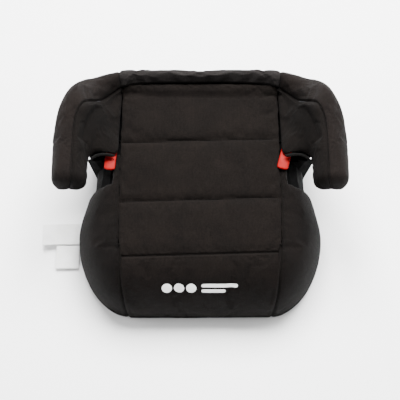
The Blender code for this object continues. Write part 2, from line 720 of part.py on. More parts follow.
# ---- Labels sewn into the lower side hem ------------------------------------------------------
def label(name, corner, width, length, rise, turn_deg, thick):
    """A flat tab: corner is where it leaves the hem, width along X and length along Y."""
    grid = np.array([[(-width * i / 3, -length * j / 2, rise * math.sin(i / 3 * math.pi / 2))
                      for j in range(3)] for i in range(4)])
    tab = skin(name, grid, outward(grid, (0, 0, -1)), 0.0, thick, LABEL_TAPE, trim=0.0)
    tab.location = corner
    tab.rotation_euler = (0.0, 0.0, math.radians(turn_deg))


def labels():
    label("loop_label", (-0.1950, -0.0270, 0.0075), 0.0600, 0.0340, 0.0050, 3.0, 0.0012)
    label("care_label", (-0.1945, -0.0640, 0.0060), 0.0360, 0.0370, 0.0020, 0.0, 0.0008)


seat_shell()
seat_foam()
arm_foams()
seat_panel()
side_panels()
arm_covers()
rear_rim_strip()
wall_covers()
belt_hems()
belt_guides()
labels()
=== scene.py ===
import math

import bmesh
import bpy
import numpy as np
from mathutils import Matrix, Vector, noise
from mathutils.bvhtree import BVHTree


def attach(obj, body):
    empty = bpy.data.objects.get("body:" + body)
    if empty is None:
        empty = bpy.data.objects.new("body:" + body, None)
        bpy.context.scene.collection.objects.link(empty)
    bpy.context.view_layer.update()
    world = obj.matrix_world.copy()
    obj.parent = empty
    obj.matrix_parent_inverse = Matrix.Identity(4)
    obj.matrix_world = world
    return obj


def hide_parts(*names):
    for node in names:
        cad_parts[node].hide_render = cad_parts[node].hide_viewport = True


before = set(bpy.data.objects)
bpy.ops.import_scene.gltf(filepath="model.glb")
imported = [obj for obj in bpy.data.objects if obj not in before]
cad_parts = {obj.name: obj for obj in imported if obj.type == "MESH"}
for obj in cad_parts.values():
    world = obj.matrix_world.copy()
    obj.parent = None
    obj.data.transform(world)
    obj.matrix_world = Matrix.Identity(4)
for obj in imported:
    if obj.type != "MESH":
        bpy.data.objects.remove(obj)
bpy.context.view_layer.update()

# ---- The seat's driving dimensions, as in the CAD -----------------------------------
ARM_HALF = 0.2165
ARM_TOP = 0.2000
RIM_TOP = 0.1460
DECK_Z = 0.1180
FRONT_Y = -0.1810
TIP_Y = -0.0280
ARM_START_Y = -0.0100
ROOT_Y = 0.0500
WAIST_HALF = 0.1720
HIP_HALF = 0.1920
HIP_Y = -0.0650
FRONT_HALF = 0.1120
SEAM_HALF = 0.1225
BROW_Y = -0.0950
SKIRT_Z = 0.0030
CLOTH = 0.0024
PIVOT = {"left": (0.1350, 0.0620), "right": (-0.1350, 0.0620)}
GUIDE_Z = 0.1130
GUIDE_HALF = 0.0084
GUIDE_REST_DEG = {"left": -15.0, "right": -4.0}
SIDES = {"left": False, "right": True}
DECK_SHARE = 0.62


# ---- Materials ----------------------------------------------------------------------
class Look:
    """A Principled material whose colour, roughness and bump come from a small node graph."""

    def __init__(self, name, roughness, metallic=0.0, sheen=0.0, specular=0.5):
        self.made = bpy.data.materials.new(name)
        self.made.use_nodes = True
        self.tree = self.made.node_tree
        self.shader = self.tree.nodes["Principled BSDF"]
        self.shader.inputs["Roughness"].default_value = roughness
        self.shader.inputs["Metallic"].default_value = metallic
        self.shader.inputs["Specular IOR Level"].default_value = specular
        self.shader.inputs["Sheen Weight"].default_value = sheen
        self.shader.inputs["Sheen Roughness"].default_value = 0.6

    def link(self, value, socket):
        if isinstance(value, bpy.types.NodeSocket):
            self.tree.links.new(value, socket)
        else:
            socket.default_value = value

    def place(self):
        return self.tree.nodes.new("ShaderNodeTexCoord").outputs["Object"]

    def weave_place(self):
        made = self.tree.nodes.new("ShaderNodeAttribute")
        made.attribute_name = "cloth"
        return made.outputs["Vector"]

    def split(self, vector):
        made = self.tree.nodes.new("ShaderNodeSeparateXYZ")
        self.link(vector, made.inputs[0])
        return made.outputs

    def math(self, operation, a, b=0.0, c=0.0, clamp=False):
        made = self.tree.nodes.new("ShaderNodeMath")
        made.operation = operation
        made.use_clamp = clamp
        self.link(a, made.inputs[0])
        self.link(b, made.inputs[1])
        self.link(c, made.inputs[2])
        return made.outputs[0]

    def noise(self, vector, scale, detail=3.0, rough=0.55):
        made = self.tree.nodes.new("ShaderNodeTexNoise")
        made.inputs["Scale"].default_value = scale
        made.inputs["Detail"].default_value = detail
        made.inputs["Roughness"].default_value = rough
        self.link(vector, made.inputs["Vector"])
        return made.outputs[0]

    def cells(self, vector, scale):
        made = self.tree.nodes.new("ShaderNodeTexVoronoi")
        made.inputs["Scale"].default_value = scale
        self.link(vector, made.inputs["Vector"])
        return made.outputs["Distance"]

    def span(self, value, low, high, to_low=0.0, to_high=1.0):
        made = self.tree.nodes.new("ShaderNodeMapRange")
        self.link(value, made.inputs["Value"])
        ends = {"From Min": low, "From Max": high, "To Min": to_low, "To Max": to_high}
        for name, number in ends.items():
            made.inputs[name].default_value = number
        return made.outputs["Result"]

    def mix(self, share, a, b):
        made = self.tree.nodes.new("ShaderNodeMix")
        made.data_type = "RGBA"
        self.link(share, made.inputs["Factor"])
        for socket, colour in ((made.inputs[6], a), (made.inputs[7], b)):
            self.link(colour if isinstance(colour, bpy.types.NodeSocket) else (*colour, 1.0), socket)
        return made.outputs[2]

    def bump(self, height, depth, strength=1.0):
        made = self.tree.nodes.new("ShaderNodeBump")
        made.inputs["Strength"].default_value = strength
        made.inputs["Distance"].default_value = depth
        self.link(height, made.inputs["Height"])
        previous = self.shader.inputs["Normal"].links
        if previous:
            self.link(previous[0].from_socket, made.inputs["Normal"])
        self.link(made.outputs[0], self.shader.inputs["Normal"])

    def colour(self, value):
        self.link(value, self.shader.inputs["Base Color"])

    def rough(self, value):
        self.link(value, self.shader.inputs["Roughness"])


COURSE = 0.0017         # height of a knitted loop
WALE = 0.0021           # width of a knitted loop


def knit(name, dark, light, sheen=0.006, course=COURSE, wale=WALE):
    """Knitted polyester: rows of interlocked loops, mottled yarn and a little pile."""
    look = Look(name, 0.9, sheen=sheen, specular=0.06)
    u, v, _ = look.split(look.weave_place())
    wobble = look.noise(look.place(), 90.0, 2.0)
    across = look.math("ABSOLUTE", look.math("SINE", look.math("MULTIPLY", u, math.pi / wale)))
    along = look.math("ADD", look.math("MULTIPLY", v, math.tau / course),
                      look.math("ADD", look.math("MULTIPLY", across, 2.2),
                                look.math("MULTIPLY", wobble, 3.0)))
    loops = look.math("MULTIPLY_ADD", look.math("SINE", along), 0.5, 0.5)
    yarn = look.math("MULTIPLY", loops, look.math("MULTIPLY_ADD", across, 0.7, 0.3))
    mottle = look.noise(look.place(), 520.0, 3.0, 0.7)
    patch = look.noise(look.place(), 26.0, 4.0)
    share = look.math("ADD", look.math("MULTIPLY", yarn, 0.45),
                      look.math("ADD", look.span(mottle, 0.3, 0.7, 0.0, 0.45),
                                look.span(patch, 0.35, 0.65, -0.08, 0.14)), clamp=True)
    look.colour(look.mix(share, dark, light))
    look.rough(look.span(mottle, 0.3, 0.7, 0.95, 0.78))
    look.bump(yarn, 0.0005, 0.8)
    look.bump(mottle, 0.0004, 0.6)
    return look.made


def webbing(name, dark, light):
    """Woven binding tape: fine diagonal ribs."""
    look = Look(name, 0.8, sheen=0.005, specular=0.06)
    u, v, _ = look.split(look.weave_place())
    ribs = look.math("SINE", look.math("MULTIPLY", look.math("ADD", u, v), math.tau / 0.0011))
    fuzz = look.noise(look.place(), 700.0)
    share = look.math("ADD", look.math("MULTIPLY", ribs, 0.3),
                      look.span(fuzz, 0.3, 0.7, 0.1, 0.8), clamp=True)
    look.colour(look.mix(share, dark, light))
    look.bump(ribs, 0.0003, 0.7)
    look.bump(fuzz, 0.0002, 0.5)
    return look.made


def moulded(name, dark, light, rough, grain, specular):
    """Injection-moulded plastic: fine grain, flow shading and a few rubbed places."""
    look = Look(name, rough, specular=specular)
    where = look.place()
    fine = look.cells(where, grain)
    flow = look.noise(where, 14.0, 4.0)
    rubbed = look.noise(where, 60.0, 5.0, 0.7)
    look.colour(look.mix(look.span(flow, 0.35, 0.65), dark, light))
    look.rough(look.math("ADD", look.span(rubbed, 0.35, 0.7, rough + 0.08, rough - 0.08),
                         look.math("MULTIPLY", fine, 0.1)))
    look.bump(fine, 0.00012, 0.5)
    look.bump(rubbed, 0.0002, 0.25)
    return look.made


def plated_steel():
    look = Look("zinc_plated_steel", 0.35, metallic=1.0)
    where = look.place()
    streaks = look.noise(where, 900.0, 2.0)
    stain = look.noise(where, 160.0, 4.0)
    look.colour(look.mix(look.span(stain, 0.35, 0.65), (0.42, 0.41, 0.38), (0.62, 0.62, 0.63)))
    look.rough(look.span(streaks, 0.3, 0.7, 0.28, 0.5))
    look.bump(streaks, 0.00005, 0.5)
    return look.made


def open_foam():
    look = Look("open_foam", 0.95, sheen=0.01, specular=0.05)
    where = look.place()
    pores = look.cells(where, 900.0)
    stain = look.noise(where, 30.0, 4.0)
    tone = look.mix(look.span(stain, 0.3, 0.7), (0.012, 0.012, 0.013), (0.022, 0.022, 0.023))
    look.colour(look.mix(look.span(pores, 0.0, 0.5), (0.004, 0.004, 0.004), tone))
    look.bump(pores, 0.0006, 0.9)
    return look.made


def satin(name, dark, light):
    """Woven satin label tape, with fine cross threads and a few greyer soiled patches."""
    look = Look(name, 0.6, sheen=0.3, specular=0.4)
    v = look.split(look.weave_place())[1]
    threads = look.math("SINE", look.math("MULTIPLY", v, math.tau / 0.0006))
    fuzz = look.noise(look.place(), 380.0, 3.0)
    soil = look.noise(look.place(), 45.0, 4.0)
    look.colour(look.mix(look.span(soil, 0.3, 0.75), light, dark))
    look.rough(look.span(fuzz, 0.3, 0.7, 0.55, 0.75))
    look.bump(threads, 0.00012, 0.5)
    look.bump(fuzz, 0.0002, 0.4)
    return look.made


SEAT_KNIT = knit("seat_knit", (0.0006, 0.0004, 0.0003), (0.0060, 0.0041, 0.0032))
# Painted shade: the side knit is the seat knit made about a quarter darker, for the side, inner arm and
# wall panels that face away from the lamp.
SHADED_SIDE_KNIT = knit("side_knit_painted_shade", (0.0004, 0.0003, 0.0002), (0.0045, 0.0031, 0.0025))
# Painted light: the band knit is the seat knit made about half again lighter, for the band's upturned
# top.
LIT_BAND_KNIT = knit("band_knit_painted_light", (0.0010, 0.0007, 0.0006), (0.0088, 0.0062, 0.0052))
# Painted light and painted reflection: the rim knit is the seat knit made over three times lighter and
# greyer, for the rear rim that faces up and back towards the lamp.
LIT_RIM_KNIT = knit("rim_knit_painted_light", (0.0030, 0.0026, 0.0025), (0.0200, 0.0174, 0.0168))
BINDING = webbing("binding_tape", (0.001, 0.001, 0.001), (0.006, 0.0055, 0.005))
THREAD = webbing("sewing_thread", (0.0003, 0.0002, 0.0002), (0.0012, 0.0010, 0.0009))
SHELL = moulded("grained_polypropylene", (0.0006, 0.0006, 0.0006), (0.0018, 0.0018, 0.0019),
                0.7, 1400.0, specular=0.02)
RED = moulded("red_moulding", (0.155, 0.0003, 0.0003), (0.195, 0.0005, 0.0004), 0.5, 900.0,
              specular=0.08)
STEEL = plated_steel()
OPEN_FOAM = open_foam()
TAPE = satin("label_satin", (0.80, 0.80, 0.78), (0.93, 0.93, 0.92))
PRINT = satin("white_print", (0.76, 0.76, 0.75), (0.90, 0.90, 0.89))


# ---- Curves and grids ---------------------------------------------------------------
def ease(low, high, value):
    share = np.clip((np.asarray(value, float) - low) / (high - low), 0.0, 1.0)
    return share * share * (3.0 - 2.0 * share)


def spline(points, places):
    """Catmull-Rom through points along their first axis, at places counted in spans."""
    points = np.asarray(points, float)
    places = np.clip(np.asarray(places, float), 0.0, len(points) - 1.0)
    k = np.minimum(places.astype(int), len(points) - 2)
    u = (places - k).reshape((-1,) + (1,) * (points.ndim - 1))
    padded = np.concatenate([2 * points[:1] - points[1:2], points, 2 * points[-1:] - points[-2:-1]])
    p0, p1, p2, p3 = padded[k], padded[k + 1], padded[k + 2], padded[k + 3]
    return 0.5 * (2 * p1 + (p2 - p0) * u + (2 * p0 - 5 * p1 + 4 * p2 - p3) * u ** 2
                  + (3 * p1 - p0 - 3 * p2 + p3) * u ** 3)


def along_curve(points, share):
    """One point of a smooth curve, at share 0 to 1 of its spans."""
    return spline(points, [share * (len(points) - 1)])[0]


def refine(grid, rows, columns):
    """A grid with each span split into rows and columns parts, smooth both ways."""
    down = np.linspace(0, grid.shape[0] - 1, (grid.shape[0] - 1) * rows + 1)
    over = np.linspace(0, grid.shape[1] - 1, (grid.shape[1] - 1) * columns + 1)
    finer = spline(grid, down)
    return spline(finer.transpose(1, 0, 2), over).transpose(1, 0, 2)


def split_spans(knots, parts):
    """The knots with each span between them split into equal parts."""
    return np.interp(np.arange((len(knots) - 1) * parts + 1) / parts, np.arange(len(knots)), knots)


def relaxed(grid, times):
    """The grid with its inner points drawn towards the middle of their neighbours."""
    grid = grid.copy()
    for _ in range(times):
        middle = (grid[:-2, 1:-1] + grid[2:, 1:-1] + grid[1:-1, :-2] + grid[1:-1, 2:]) / 4.0
        grid[1:-1, 1:-1] += 0.6 * (middle - grid[1:-1, 1:-1])
    return grid


def normals(grid, inside):
    """Unit normals of a grid, on the side away from a point inside the object."""
    found = np.cross(np.gradient(grid, axis=0), np.gradient(grid, axis=1))
    found /= np.maximum(np.linalg.norm(found, axis=2, keepdims=True), 1e-12)
    if np.sum(found * (grid - np.array(inside))) < 0:
        found = -found
    return found


def lengths(grid, axis):
    """Distance run along an axis of a grid, from its first row or column."""
    steps = np.linalg.norm(np.diff(grid, axis=axis), axis=2)
    start = np.zeros_like(steps[:1] if axis == 0 else steps[:, :1])
    return np.concatenate([start, np.cumsum(steps, axis=axis)], axis=axis)


def edge_distance(grid, edges="tblr"):
    """Distance of each point of a grid from the nearest of its named edges."""
    down, over = lengths(grid, 0), lengths(grid, 1)
    found = np.full(grid.shape[:2], 9.0)
    distances = {"t": down, "b": down[-1:] - down, "l": over, "r": over[:, -1:] - over}
    for edge, distance in distances.items():
        if edge in edges:
            found = np.minimum(found, distance)
    return found


def rumple(grid, seed, coarse=0.0007, fine=0.00022, stretch=(1.0, 1.0, 1.0)):
    """How far worn, hand-fitted cloth stands off its pattern at each point."""
    out = np.empty(grid.shape[:2])
    shift = Vector((seed * 1.7, seed * 3.1, seed * 0.9))
    for i in range(grid.shape[0]):
        for j in range(grid.shape[1]):
            p = Vector(grid[i, j] * np.array(stretch))
            out[i, j] = (coarse * noise.noise(p * 22.0 + shift)
                         + fine * noise.noise(p * 95.0 + shift))
    return out


# ---- Meshes -------------------------------------------------------------------------
SHARP_DEG = 55.0        # faces that meet at more than this keep a crisp edge between them


def finish_mesh(name, points, faces, look, cloth=None):
    """An object of these faces. cloth holds each point's place in the weave, in metres."""
    mesh = bpy.data.meshes.new(name)
    mesh.from_pydata([tuple(p) for p in points], [], faces)
    mesh.validate()
    mesh.shade_smooth()
    mesh.set_sharp_from_angle(angle=math.radians(SHARP_DEG))
    mesh.materials.append(look)
    place = mesh.attributes.new("cloth", "FLOAT_VECTOR", "POINT")
    if cloth is None:
        cloth = [(p[0] + 0.3 * p[2], p[1] + 0.3 * p[2], 0.0) for p in points]
    place.data.foreach_set("vector", np.asarray(cloth, float).reshape(-1))
    made = bpy.data.objects.new(name, mesh)
    bpy.context.scene.collection.objects.link(made)
    return made


def slab(name, top, bottom, look, keep=None, mirror=False):
    """A closed piece between two grids of the same size, where keep is true."""
    rows, columns = top.shape[:2]
    flip = np.array([-1.0, 1.0, 1.0]) if mirror else np.ones(3)
    used = np.ones((rows - 1, columns - 1), bool) if keep is None else keep
    index = np.arange(rows * columns).reshape(rows, columns)
    count = rows * columns
    faces, borders = [], {}
    for i, j in np.argwhere(used):
        loop = [index[i, j], index[i + 1, j], index[i + 1, j + 1], index[i, j + 1]]
        faces.append(loop)
        faces.append([n + count for n in reversed(loop)])
        for a, b in zip(loop, loop[1:] + loop[:1]):
            if (b, a) in borders:
                del borders[b, a]
            else:
                borders[a, b] = True
    faces += [[b, a, a + count, b + count] for a, b in borders]
    points = np.concatenate([top.reshape(-1, 3), bottom.reshape(-1, 3)]) * flip
    middle_u = lengths(top, 1)[rows // 2]
    middle_v = lengths(top, 0)[:, columns // 2]
    cloth = np.zeros((rows, columns, 3))
    cloth[..., 0] = middle_u[None, :]
    cloth[..., 1] = middle_v[:, None]
    cloth = np.concatenate([cloth.reshape(-1, 3)] * 2)
    kept = sorted({n for face in faces for n in face})
    renumber = {n: k for k, n in enumerate(kept)}
    faces = [[renumber[n] for n in face] for face in faces]
    return face_out(finish_mesh(name, points[kept], faces, look, cloth[kept]))


def face_out(made):
    """Turns all faces of a closed piece outward."""
    shape = bmesh.new()
    shape.from_mesh(made.data)
    bmesh.ops.recalc_face_normals(shape, faces=shape.faces[:])
    shape.to_mesh(made.data)
    shape.free()
    return made


def loft(name, rings, look, cloth=None):
    """A closed solid through rings of the same number of points."""
    rings = np.asarray(rings)
    count = rings.shape[1]
    faces = []
    for r in range(len(rings) - 1):
        for k in range(count):
            n = (k + 1) % count
            faces.append([r * count + k, r * count + n, (r + 1) * count + n, (r + 1) * count + k])
    faces.append(list(range(count)))
    faces.append([(len(rings) - 1) * count + k for k in range(count)])
    return face_out(finish_mesh(name, rings.reshape(-1, 3), faces, look, cloth))


# ---- Cloth simulation ---------------------------------------------------------------
def puff(name, top, bottom, held, cap, pressure=4.0, slack=0.010):
    """Lets the top of a closed pad swell against its seams, and returns where it comes to.

    held is 1 where the cloth is sewn down and 0 where it is free. cap is how far it may move.
    """
    scene = bpy.context.scene
    pad = slab(name, top, bottom, SHADED_SIDE_KNIT)
    count = top.shape[0] * top.shape[1]
    group = pad.vertex_groups.new(name="sewn")
    for n, weight in enumerate(held.reshape(-1)):
        if weight > 0:
            group.add([n], float(weight), "REPLACE")
    group.add(list(range(count, 2 * count)), 1.0, "REPLACE")
    change = pad.modifiers.new("cloth", "CLOTH")
    cloth = change.settings
    cloth.quality = 6
    cloth.mass = 0.25
    cloth.tension_stiffness = 18.0
    cloth.compression_stiffness = 12.0
    cloth.shear_stiffness = 6.0
    cloth.bending_stiffness = 0.25
    cloth.use_pressure = True
    cloth.uniform_pressure_force = pressure
    cloth.shrink_min = -slack
    cloth.vertex_group_mass = "sewn"
    cloth.effector_weights.gravity = 0.0
    change.collision_settings.use_collision = False
    for step in range(1, 21):
        scene.frame_set(step)
    shaped = pad.evaluated_get(bpy.context.evaluated_depsgraph_get())
    found = np.empty(len(shaped.data.vertices) * 3)
    shaped.data.vertices.foreach_get("co", found)
    found = found.reshape(-1, 3)[:count].reshape(top.shape)
    bpy.data.objects.remove(pad)
    scene.frame_set(1)
    moved = found - top
    size = np.linalg.norm(moved, axis=2, keepdims=True)
    moved *= np.tanh(size / cap) * cap / np.maximum(size, 1e-9)
    return top + moved


def swell(name, grid, inside, thick, channels=None, cap=0.003, parts=1, hold=0.004,
          pressure=4.0, slack=0.010):
    """Simulates a coarse grid as a sewn pad, and returns its shape on a finer grid."""
    out = normals(grid, inside)
    held = 1.0 - ease(0.2 * hold, hold, edge_distance(grid))
    if channels is not None:
        held = np.maximum(held, channels)
    moved = puff(name, grid, grid - out * thick, held, cap, pressure, slack)
    return refine(moved, parts, parts)


# ---- The seat's outer surface, as in the CAD ----------------------------------------
def quarter(angle, exponent):
    return math.sin(angle) ** (2.0 / exponent), max(0.0, math.cos(angle)) ** (2.0 / exponent)


def base_outline(share):
    corner_share = 0.6
    if share < corner_share:
        sideways, forward = quarter(share / corner_share * math.pi / 2, 1.8)
        return (FRONT_HALF + (HIP_HALF - FRONT_HALF) * sideways,
                HIP_Y + (FRONT_Y - HIP_Y) * forward)
    along = (share - corner_share) / (1 - corner_share)
    y = HIP_Y + (ROOT_Y + 0.002 - HIP_Y) * along
    return HIP_HALF + (WAIST_HALF - HIP_HALF) * float(ease(0.0, 0.85, along)), y


def panel_half(drop):
    return SEAM_HALF + (FRONT_HALF - SEAM_HALF) * drop


def seam_line(share):
    back = max(0.0, (share - 0.45) / 0.55)
    y = BROW_Y + 0.012 * min(1.0, share / 0.45) + (ROOT_Y - BROW_Y - 0.012) * back
    return panel_half(0.15 * float(ease(-0.05, BROW_Y, y))), y


def side_surface(share, fall):
    away, up = quarter(fall * math.pi / 2, 2.3)
    top_x, top_y = seam_line(share)
    low_x, low_y = base_outline(share)
    x = top_x + (low_x - top_x) * away
    at_seam = max(0.0, 1.0 - share / 0.08)
    return (x + (panel_half(0.15 + 0.85 * fall) - x) * at_seam, top_y + (low_y - top_y) * away,
            SKIRT_Z + (DECK_Z - SKIRT_Z) * up)


def panel_path(share):
    if share < DECK_SHARE:
        y = 0.1640 + (BROW_Y - 0.1640) * share / DECK_SHARE
        return (y, DECK_Z + 0.012 * float(ease(0.145, 0.164, y)),
                0.15 * float(ease(-0.05, BROW_Y, y)))
    fall = (share - DECK_SHARE) / (1 - DECK_SHARE)
    away, up = quarter(fall * math.pi / 2, 2.3)
    return (BROW_Y + (FRONT_Y - BROW_Y) * away, SKIRT_Z + (DECK_Z - SKIRT_Z) * up,
            0.15 + 0.85 * fall)


def seat_surface(share, across):
    y, z, drop = panel_path(share)
    return panel_half(drop) * across, y, z


BAND_SEAM = [(0.1815, -0.010), (0.1820, 0.015), (0.1820, 0.045), (0.1785, 0.082),
             (0.1600, 0.1155), (0.1230, 0.1560), (0.0600, 0.1635), (0.0, 0.1640)]
OUTER_LINE = [(ARM_HALF, ROOT_Y), (0.2132, 0.0880), (0.2030, 0.1205), (0.1850, 0.1475),
              (0.1600, 0.1712), (0.1263, 0.1836), (0.0822, 0.1842), (0.0, 0.1828)]
STRAIGHT = 6
TURN_SHARES = [0.0, 0.0035] + [k / 15 for k in range(1, 16)]
REAR_CORNER = (0.6, 5 / 7)      # the rear corner's share along the seam and the outer line
ARM_PROFILE = [(0.0, -0.0025), (0.35, 0.0), (0.72, -0.0055), (0.94, -0.018),
               (1.0, -0.034), (0.955, -0.048)]
RIM_PROFILE = [(0.0, -0.016), (0.3, -0.004), (0.55, 0.0), (0.85, -0.003),
               (1.0, -0.010), (1.0, -0.024)]
INNER_EDGE = [(0.1650, -0.010, 0.1540), (0.1650, 0.012, 0.1500), (0.1655, 0.0300, 0.1430),
              (0.1570, 0.0405, 0.1385), (0.1430, 0.0440, 0.1350), (0.1300, 0.0440, 0.1310),
              (0.1232, 0.0520, 0.1270), (0.1226, 0.0780, 0.1190), (0.1225, 0.1120, 0.1180),
              (0.1228, 0.1540, 0.1270)]
SLOPE_ROOT = [(0.0, 0.0), (0.15, 0.11), (0.27, 0.41), (0.45, 0.74), (1.0, 1.0)]
SLOPE_FREE = [(0.0, 0.0), (0.50, 0.13), (0.85, 0.36), (1.0, 0.66), (1.0, 1.0)]


def band_stations():
    stations = []
    for k in range(STRAIGHT):
        share = k / STRAIGHT
        y = ARM_START_Y + (ROOT_Y - ARM_START_Y) * share
        stations.append((along_curve(BAND_SEAM[:3], share * 1.02), (ARM_HALF, y)))
    for share in TURN_SHARES:
        outer_share = float(np.interp(share, (0.0, REAR_CORNER[0], 1.0), (0.0, REAR_CORNER[1], 1.0)))
        stations.append((along_curve(BAND_SEAM[2:], share), along_curve(OUTER_LINE, outer_share)))
    return stations


def band_row(station):
    (sx, sy), (ox, oy) = station
    raised = float(ease(0.150, 0.200, ox))
    top = RIM_TOP + (ARM_TOP - RIM_TOP) * raised
    row = []
    for (qa, za), (qr, zr) in zip(ARM_PROFILE, RIM_PROFILE):
        q = qr + (qa - qr) * raised
        row.append((sx + (ox - sx) * q, sy + (oy - sy) * q, top + zr + (za - zr) * raised))
    return row


def inner_row(seam, edge, free):
    row = []
    for (ar, br), (af, bf) in zip(SLOPE_ROOT, SLOPE_FREE):
        a = ar + (af - ar) * free
        b = br + (bf - br) * free
        row.append((seam[0] + (edge[0] - seam[0]) * a, seam[1] + (edge[1] - seam[1]) * a,
                    seam[2] + (edge[2] - seam[2]) * b))
    return row[::-1]


STATIONS = band_stations()
CORNER = next(k for k, station in enumerate(STATIONS) if station[0][0] < 0.124)
BAND = np.array([band_row(s) for s in STATIONS])
SEAM_COLUMN = len(SLOPE_ROOT) - 1


def horseshoe():
    rows = []
    for k in range(CORNER + 1):
        edge = along_curve(INNER_EDGE, (k / CORNER) ** 0.9)
        free = 1.0 - float(ease(0.02, 0.06, STATIONS[k][1][1]))
        rows.append(inner_row(BAND[k][0], edge, free) + [tuple(p) for p in BAND[k][1:]])
    return np.array(rows)


WALL_ROOT = [(0.0, 0.0), (0.86, 0.22), (1.06, 0.55), (1.0, 1.0)]
WALL_REAR = [(0.0, 0.0), (0.28, 0.36), (0.62, 0.70), (1.0, 1.0)]


def wall_profile(y):
    turned = float(ease(0.05, 0.105, y))
    return [(a + (c - a) * turned, b + (d - b) * turned)
            for (a, b), (c, d) in zip(WALL_ROOT, WALL_REAR)]


def wall_foot(share):
    out, back = quarter(math.pi / 2 * (1 - share), 3.2)
    return WAIST_HALF * out, ROOT_Y + (0.1700 - ROOT_Y) * back


def wall_rows():
    rows = []
    for k, share in enumerate(TURN_SHARES):
        top = BAND[STRAIGHT + k][-1]
        foot = wall_foot(share)
        rows.append([(top[0] + (foot[0] - top[0]) * a, top[1] + (foot[1] - top[1]) * a,
                      top[2] + (SKIRT_Z - top[2]) * d)
                     for a, d in wall_profile(top[1])])
    return np.array(rows)


def both_sides(rows):
    return np.concatenate([rows, rows[-2::-1] * np.array([-1.0, 1.0, 1.0])])


def without_close_station(rows, station):
    """The rows without the one that lies almost on its neighbour."""
    return np.delete(rows, station, axis=0)


def tip_rows(first_row, length, steps):
    centre = np.array([0.1905, 0.0, 0.1630])
    rows = []
    for k in range(steps, 0, -1):
        share = math.sin(k / steps * math.radians(89.6))
        scale = (1.0 - share ** 2.4) ** (1 / 2.4)
        row = (first_row - centre) * (scale, 0.0, scale) + centre
        row[:, 1] = ARM_START_Y - length * share
        rows.append(row)
    return np.array(rows)


# ---- Sewing -------------------------------------------------------------------------
STITCH_PITCH = 0.0042
STITCH_RADIUS = 0.00042
STITCH_SIDES = 6


def sew(name, path, out, sink=0.0001):
    """A row of thread stitches lying on a surface along a path of points with normals."""
    run = np.concatenate([[0.0], np.cumsum(np.linalg.norm(np.diff(path, axis=0), axis=1))])
    count = int(run[-1] / STITCH_PITCH)
    points, faces = [], []
    for k in range(count):
        ends = np.array([k + 0.14, k + 0.5, k + 0.86]) * STITCH_PITCH
        spots = np.array([[np.interp(e, run, path[:, a]) for a in range(3)] for e in ends])
        lift = np.array([np.interp(ends[1], run, out[:, a]) for a in range(3)])
        along = spots[2] - spots[0]
        along /= np.linalg.norm(along)
        side = np.cross(along, lift)
        side /= np.linalg.norm(side)
        lift = np.cross(side, along)
        base = len(points)
        sections = ((spots[0], -0.6, 0.5), (spots[0] * 0.7 + spots[1] * 0.3, 0.5, 1.0),
                    (spots[1], 0.8, 1.0), (spots[2] * 0.7 + spots[1] * 0.3, 0.5, 1.0),
                    (spots[2], -0.6, 0.5))
        for spot, rise, wide in sections:
            middle = spot + lift * (STITCH_RADIUS * rise - sink)
            for t in range(STITCH_SIDES):
                angle = t * math.tau / STITCH_SIDES
                around = side * math.cos(angle) + lift * math.sin(angle)
                points.append(middle + STITCH_RADIUS * wide * around)
        for r in range(len(sections) - 1):
            ring = base + r * STITCH_SIDES
            for t in range(STITCH_SIDES):
                n = (t + 1) % STITCH_SIDES
                faces.append([ring + t, ring + n, ring + STITCH_SIDES + n, ring + STITCH_SIDES + t])
        last = len(points) - STITCH_SIDES
        faces.append([base + t for t in range(STITCH_SIDES)][::-1])
        faces.append([last + t for t in range(STITCH_SIDES)])
    made = face_out(finish_mesh(name, points, faces, THREAD))
    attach(made, "seat")


def across_grid(grid, out, row):
    """Path and normals along a fractional row of a grid."""
    return spline(grid, [row])[0], spline(out, [row])[0]


def down_grid(grid, out, column):
    """Path and normals along a fractional column of a grid."""
    return across_grid(grid.transpose(1, 0, 2), out.transpose(1, 0, 2), column)


def mirrored(path, lift):
    flip = np.array([-1.0, 1.0, 1.0])
    return path * flip, lift * flip


def groove(distance, depth, width):
    """Depth of a smooth crease at a distance from its middle."""
    return depth * np.exp(-(distance / width) ** 2)


# Depth and width of the creases that sewing leaves in the cloth.
SEAM_CREASE = (0.0022, 0.0018)
SEAM_HOLLOW = (0.0006, 0.0050)
CHANNEL_CREASE = (0.0038, 0.0018)
CHANNEL_HOLLOW = (0.0012, 0.0085)
HEM_INSET = 0.0120      # from the cover's lower edge up to its hem's stitches


def seam_dip(edge):
    return groove(edge, *SEAM_CREASE) + groove(edge, *SEAM_HOLLOW)


# ---- Seat pad: one panel, quilted into four sections by three channels --------------
CHANNEL_Y = (0.0730, -0.0240)
CHANNEL_TILT = 0.0035   # how far a channel's end on one side lies behind its middle
DEEPEST = 0.0052        # no crease of the pad is deeper than this
FRONT_CHANNEL = 0.6526  # the third channel's share of the pad's length, just past the brow


def channel_shares():
    deck = [(0.1640 - y) / (0.1640 - BROW_Y) * DECK_SHARE for y in CHANNEL_Y]
    return deck + [FRONT_CHANNEL]


